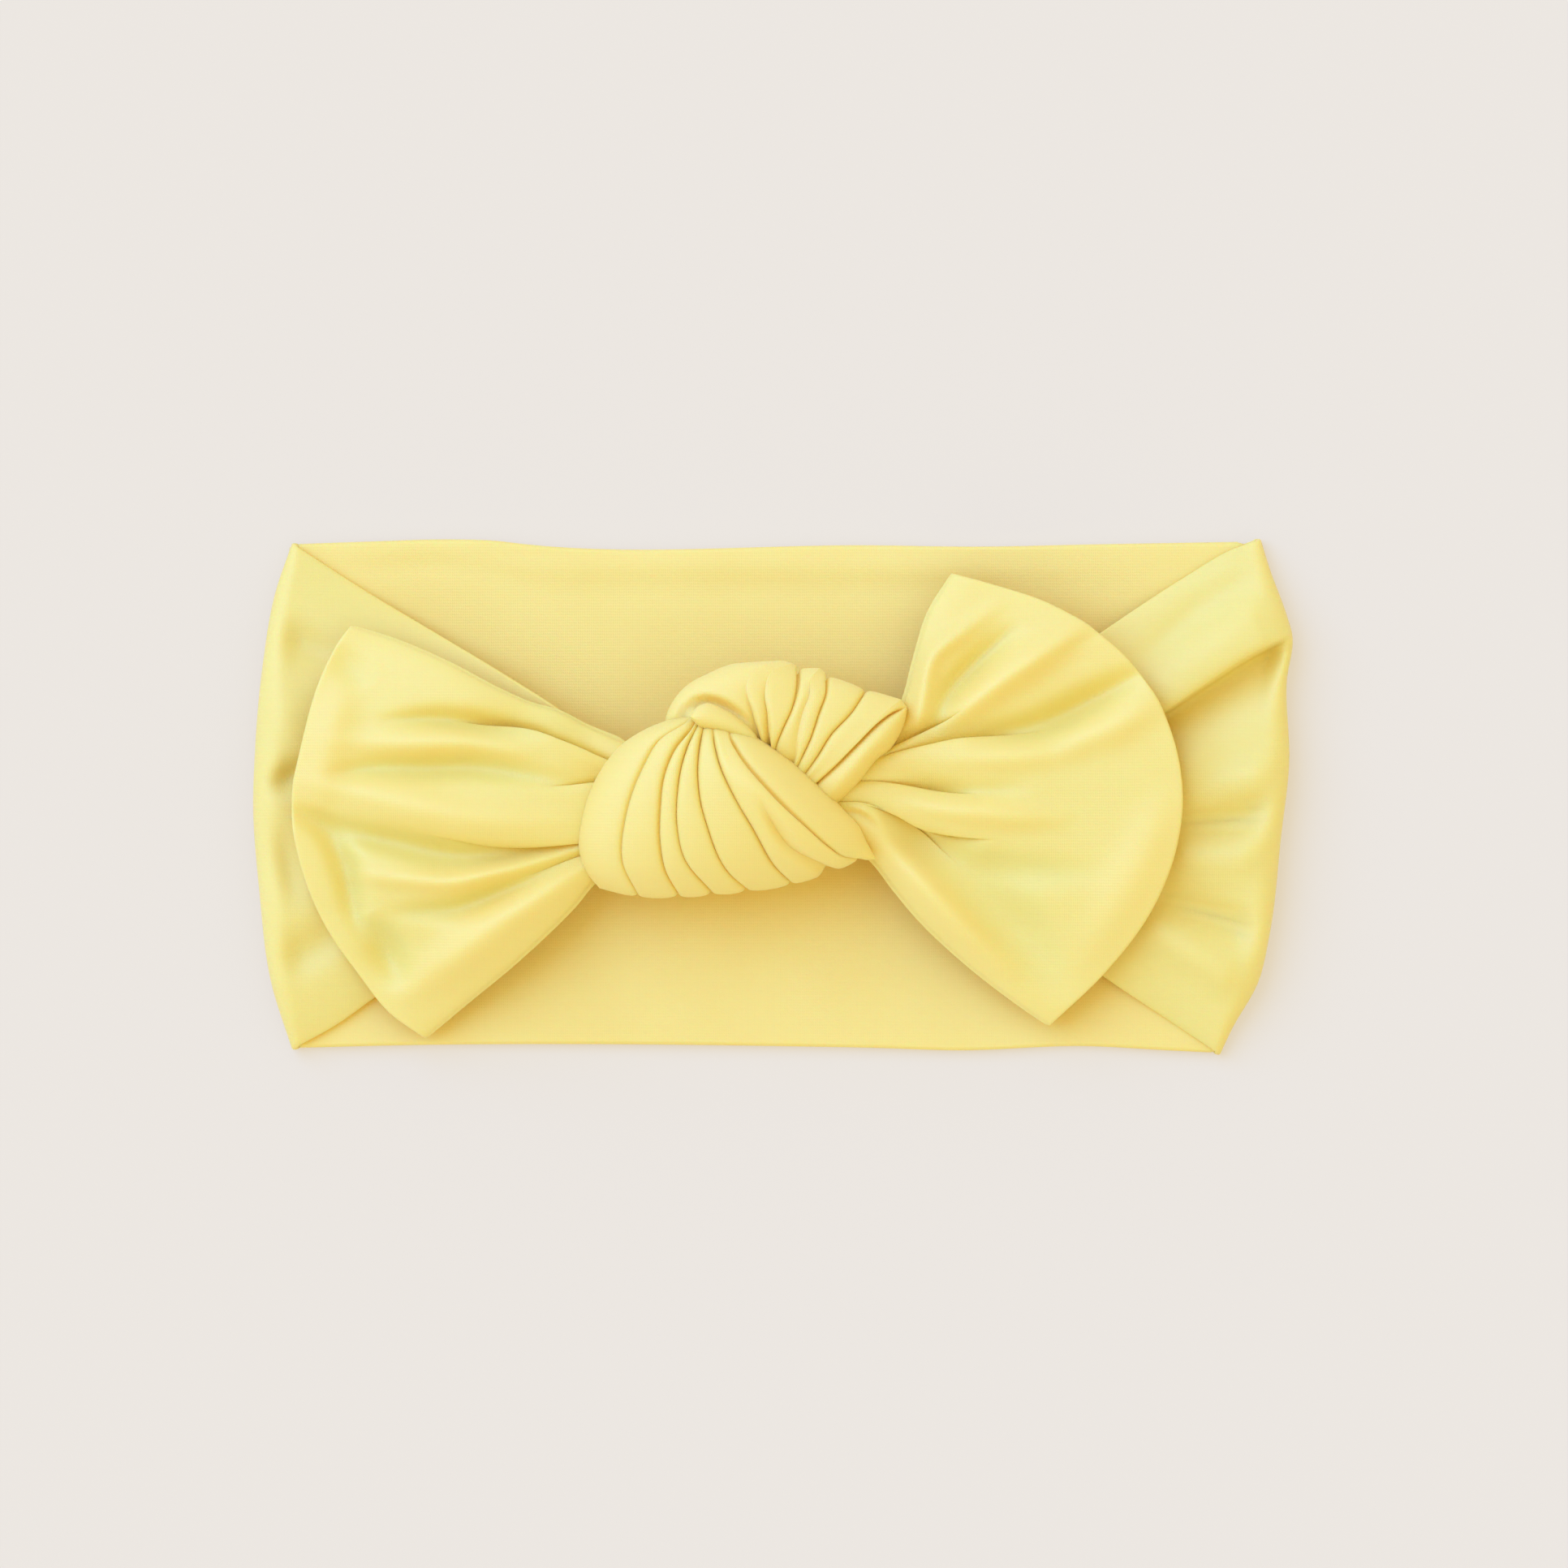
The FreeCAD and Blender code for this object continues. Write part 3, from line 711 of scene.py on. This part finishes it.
FRONT_LOOP = [
    [(-16.0, 12.6), (-20.3, 10.9), (-24.1, 8.5), (-28.1, 3.4), (-30.3, -2.2), (-31.1, -8.1),
     (-30.0, -11.8), (-27.8, -14.6)],
    [(-12.6, 13.0), (-14.6, 11.9), (-18.2, 9.7), (-21.2, 4.8), (-23.9, -3.2), (-24.3, -10.9),
     (-21.8, -16.2)],
    [(-12.0, 12.6), (-13.1, 11.1), (-15.6, 8.2), (-17.4, 4.2), (-18.3, -2.4), (-18.3, -7.3),
     (-17.4, -12.1), (-15.2, -16.2)],
    [(-11.4, 12.3), (-12.4, 11.0), (-14.4, 6.2), (-15.4, 0.4), (-15.5, -4.2), (-14.2, -10.3),
     (-9.9, -15.8)],
    [(-10.8, 12.2), (-11.2, 10.9), (-12.0, 6.2), (-11.6, -1.0), (-10.7, -4.4), (-6.9, -12.9),
     (-4.3, -15.3)],
    [(-9.6, 12.0), (-9.5, 10.6), (-8.7, 6.0), (-5.7, -1.0), (-3.4, -5.0), (0.7, -12.1), (2.9, -14.3)],
    [(-8.4, 11.6), (-8.2, 10.2), (-6.5, 5.0), (-2.4, 0.4), (-0.7, -2.9), (3.0, -8.5), (8.9, -12.2)],
    [(-7.2, 11.2), (-6.7, 9.8), (-5.4, 7.4), (-1.3, 2.2), (5.8, -4.9), (9.3, -8.2), (11.6, -9.9),
     (13.9, -10.2)],
    [(-5.2, 10.8), (-2.4, 9.4), (0.1, 7.8), (3.9, 5.1), (7.1, 2.2), (10.2, -0.9), (11.6, -2.4),
     (13.7, -4.7), (14.8, -7.0), (16.4, -9.9)],
]
REAR_LOOP = [
    [(-3.0, 21.6), (-6.8, 21.2), (-10.3, 19.8), (-14.1, 17.6), (-16.1, 15.2), (-17.2, 12.1),
     (-16.0, 9.0)],
    [(1.5, 21.8), (-2.6, 20.4), (-4.2, 18.2), (-3.4, 13.5), (-2.5, 9.4), (-2.0, 7.4)],
    [(3.0, 21.4), (-0.6, 19.6), (-1.3, 17.0), (-0.9, 13.3), (-0.8, 8.8), (-0.6, 7.0)],
    [(4.0, 20.6), (4.0, 18.5), (3.0, 14.0), (1.6, 10.9), (0.3, 7.8), (-0.2, 6.0)],
    [(7.4, 20.6), (5.9, 18.9), (5.8, 16.6), (4.8, 13.8), (3.9, 10.0), (3.3, 6.2), (2.6, 4.2)],
    [(8.7, 19.5), (8.6, 17.0), (7.4, 13.5), (5.9, 9.1), (3.9, 5.1), (2.6, 2.8)],
    [(14.8, 17.3), (12.6, 13.8), (9.1, 9.8), (7.1, 6.5), (5.3, 3.9), (3.4, 1.6)],
    [(20.4, 15.6), (18.2, 13.9), (14.8, 10.6), (10.4, 6.6), (7.4, 4.2), (4.2, 1.0)],
    [(21.3, 14.4), (19.9, 13.8), (17.0, 11.8), (13.5, 8.3), (10.0, 4.7), (7.1, 2.1), (4.8, 0.0)],
    [(21.4, 14.2), (21.1, 12.4), (20.2, 10.0), (18.7, 7.7), (16.6, 6.0), (13.8, 2.5), (10.4, -0.9),
     (7.6, -3.2)],
]
INNER_ROLL = [
    [(-13.3, 12.9), (-12.3, 14.2), (-10.9, 14.9), (-7.9, 14.0), (-5.0, 12.1), (-3.0, 10.2), (-2.2, 8.8)],
    [(-13.2, 12.7), (-11.9, 11.3), (-9.4, 10.3), (-6.4, 9.2), (-4.0, 8.4), (-2.8, 8.0)],
]
UNDER_WRAP = [
    [(-15.0, 7.5), (-16.5, 0.0), (-15.0, -8.0)],
    [(-8.5, 9.5), (-9.5, 0.0), (-7.5, -10.0)],
    [(-2.0, 10.0), (-2.5, 0.0), (-1.0, -10.0)],
    [(5.0, 8.8), (5.0, 0.0), (6.0, -8.4)],
    [(11.5, 5.6), (12.5, 0.0), (11.5, -5.8)],
]
PLEAT_START = (0.0, 0.1)
FRONT_CREASES = {
    1: Crease(depth=0.5, width=0.8, grow=PLEAT_START, crown=0.8),
    2: Crease(depth=0.55, width=0.8, grow=PLEAT_START, crown=0.7),
    3: Crease(depth=0.55, width=0.8, grow=PLEAT_START, crown=0.7),
    4: Crease(depth=0.6, width=0.8, grow=PLEAT_START, crown=0.7),
    5: Crease(depth=0.6, width=0.85, grow=PLEAT_START, crown=0.8),
    6: Crease(depth=1.2, width=2.2, kind=1.6, grow=(0.4, 0.65), crown=0.2),
    7: Crease(depth=0.7, width=0.9, grow=PLEAT_START, crown=0.8),
}
FRONT_FOLDS = [
    ([(-9.0, 12.0), (-4.0, 5.0), (2.6, -2.0), (9.0, -8.4), (14.0, -12.0)], 5.0, 2.3),
]
REAR_CREASES = {
    1: Crease(depth=0.9, width=1.3, kind=0.9, grow=(0.3, 0.85), before=(0.7, 1.8), crown=0.0),
    2: Crease(depth=0.8, width=1.2, kind=1.0, grow=(0.15, 0.8), before=(0.5, 1.5), crown=0.0),
    3: Crease(depth=0.65, width=0.75, crown=0.4),
    4: Crease(depth=0.4, width=1.6, kind=1.6, grow=(0.1, 0.3), crown=0.05),
    5: Crease(depth=0.65, width=0.75, crown=0.4),
    6: Crease(depth=0.65, width=0.8, crown=0.5),
    8: Crease(depth=0.6, width=0.7, grow=(0.0, 0.06), crown=0.6),
}
REAR_FOLDS = [
    ([(-16.8, 10.8), (-14.8, 12.3), (-13.0, 14.2), (-10.9, 15.2), (-7.9, 14.3), (-4.9, 12.4),
      (-2.8, 10.4)], 0.9, -2.2),
    ([(20.6, 13.0), (16.6, 8.8), (12.4, 4.0), (8.4, -0.4)], 1.5, 1.0),
]
UNDER_CREASES = {index: Crease(depth=0.7, width=1.2, crown=0.3) for index in (1, 2, 3)}
KNOT_PER_PLEAT = 18         # places across each pleat
KNOT_GATHER = 0.8
AROUND = 180                # places round the band
TOP_SPAN = (0, 0.2)         # in height up the lobe's side, for the soft folds
EDGE_SPAN = (0, 0.4)        # in fullness from the lobe's edge


def wrapped(name, curves, creases, soft_folds, rim, crown, under, squareness, swell=0.85):
    """A band of pleats wrapped round a core, in the jersey. rim is the height of the lobe's edge
    at its four corners, crown how far the top rises from there and under how far the underside
    falls. A larger squareness or a smaller swell makes the lobe fuller towards its edge."""
    count = len(curves) - 1
    if count > 1:
        u = spread(count, KNOT_PER_PLEAT, KNOT_GATHER)
        u = np.where(u <= 1, 1 - np.cos(u * math.pi / 2), u)
        u = np.where(u >= count - 1, count - 1 + np.sin((u - count + 1) * math.pi / 2), u)
    else:
        u = 0.5 - 0.5 * np.cos(np.linspace(0, math.pi, 2 * KNOT_PER_PLEAT))
    turn = np.linspace(0, 2 * math.pi, AROUND, endpoint=False)
    v = 0.5 - 0.5 * np.cos(turn)
    plan, lines = lattice(curves, u, v)
    across = (u / count)[:, None]
    (start_low, start_high), (end_low, end_high) = rim
    edge = ((start_low * (1 - across) + start_high * across) * (1 - v)
            + (end_low * (1 - across) + end_high * across) * v)
    hump = np.clip(1 - np.abs(2 * across - 1) ** squareness, 0, 1) ** 0.5
    wave = np.sin(turn)[None]
    rise = np.sign(wave) * np.abs(wave) ** swell
    height = edge + hump * np.where(wave > 0, crown, under) * rise
    cut, fall, moved = pleats(plan, lines, u, v, creases)
    lapped = hump * np.clip(wave, 0, 1)
    plan = plan + lapped[..., None] * (moved - plan)
    grid = np.dstack([plan, height])
    out = normals(np.concatenate([grid[:, -2:], grid, grid[:, :2]], axis=1))[:, 2:-2]
    if out[:, AROUND // 4, 2].mean() < 0:
        out = -out
    grid = grid - out * ((cut + fall) * np.sqrt(hump))[..., None]
    on_top = smooth(hump, *EDGE_SPAN) * smooth(wave, *TOP_SPAN)
    grid[..., 2] += on_top * relief(grid[..., :2], soft_folds)
    return in_jersey(build(name, grid.reshape(-1, 3), quads(len(u), AROUND, wrap=True)))


def knot():
    """The knot's four pieces. All ride on it."""
    front = wrapped("front_loop", FRONT_LOOP, FRONT_CREASES, FRONT_FOLDS,
                    rim=((17.0, 19.0), (12.5, 14.5)), crown=10.0, under=5.2, squareness=3.2)
    rear = wrapped("rear_loop", REAR_LOOP, REAR_CREASES, REAR_FOLDS,
                   rim=((13.5, 13.0), (17.0, 15.0)), crown=6.0, under=5.0, squareness=12.0)
    roll = wrapped("inner_roll", INNER_ROLL, {}, [],
                   rim=((21.6, 22.6), (19.4, 18.8)), crown=2.8, under=2.8, squareness=2.0, swell=0.6)
    under = wrapped("under_wrap", UNDER_WRAP, UNDER_CREASES, [],
                    rim=((12.5, 12.5), (12.5, 12.5)), crown=1.0, under=5.0, squareness=3.0)
    for piece in (front, rear, roll, under):
        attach(piece, "knot")
        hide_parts(f"knot_{piece.name}")


back_panel()
straps()
tails()
knot()

stitches = bpy.data.objects["knot_tack_stitches"]
stitches.data.materials.clear()
stitches.data.materials.append(THREAD)

# ---------------------------------------------------------------- floor, light, camera

FLOOR_REACH = 30
FLOOR_COLOUR = (0.412, 0.392, 0.371, 1)

corners = [(-FLOOR_REACH, -FLOOR_REACH, 0), (FLOOR_REACH, -FLOOR_REACH, 0),
           (FLOOR_REACH, FLOOR_REACH, 0), (-FLOOR_REACH, FLOOR_REACH, 0)]
floor_mesh = bpy.data.meshes.new("floor")
floor_mesh.from_pydata(corners, [], [(0, 1, 2, 3)])
floor = bpy.data.objects.new("floor", floor_mesh)
bpy.context.scene.collection.objects.link(floor)
paper = bpy.data.materials.new("warm paper")
paper.use_nodes = True
paper_shader = paper.node_tree.nodes["Principled BSDF"]
paper_shader.inputs["Base Color"].default_value = FLOOR_COLOUR
paper_shader.inputs["Emission Color"].default_value = FLOOR_COLOUR
paper_shader.inputs["Emission Strength"].default_value = 1.0
paper_shader.inputs["Roughness"].default_value = 0.9
paper_shader.inputs["Specular IOR Level"].default_value = 0.1
floor_mesh.materials.append(paper)

# A warm surround and a cool sun: neutral together, and warm where the sun doesn't reach.
world = bpy.data.worlds.new("studio")
bpy.context.scene.world = world
world.use_nodes = True
surround = world.node_tree.nodes["Background"]
surround.inputs["Color"].default_value = (0.95, 0.81, 0.475, 1)
surround.inputs["Strength"].default_value = 1.0

SUN_SIDE = Vector((-0.66, 0.50, 0.84))
sun_data = bpy.data.lights.new("key", "SUN")
sun_data.energy = 2.5
sun_data.color = (0.15, 0.40, 1.0)
sun_data.angle = math.radians(60)
sun = bpy.data.objects.new("key", sun_data)
sun.rotation_euler = SUN_SIDE.to_track_quat("Z", "Y").to_euler()
bpy.context.scene.collection.objects.link(sun)

# Straight above the picture's centre, and far enough away for the picture's flat perspective.
camera_data = bpy.data.cameras.new("camera")
camera_data.lens = 300
camera_data.sensor_width = 36
camera = bpy.data.objects.new("camera", camera_data)
camera.location = (0.00169, 0.00208, 2.101)
bpy.context.scene.collection.objects.link(camera)
bpy.context.scene.camera = camera
bpy.context.scene.view_settings.view_transform = "Standard"
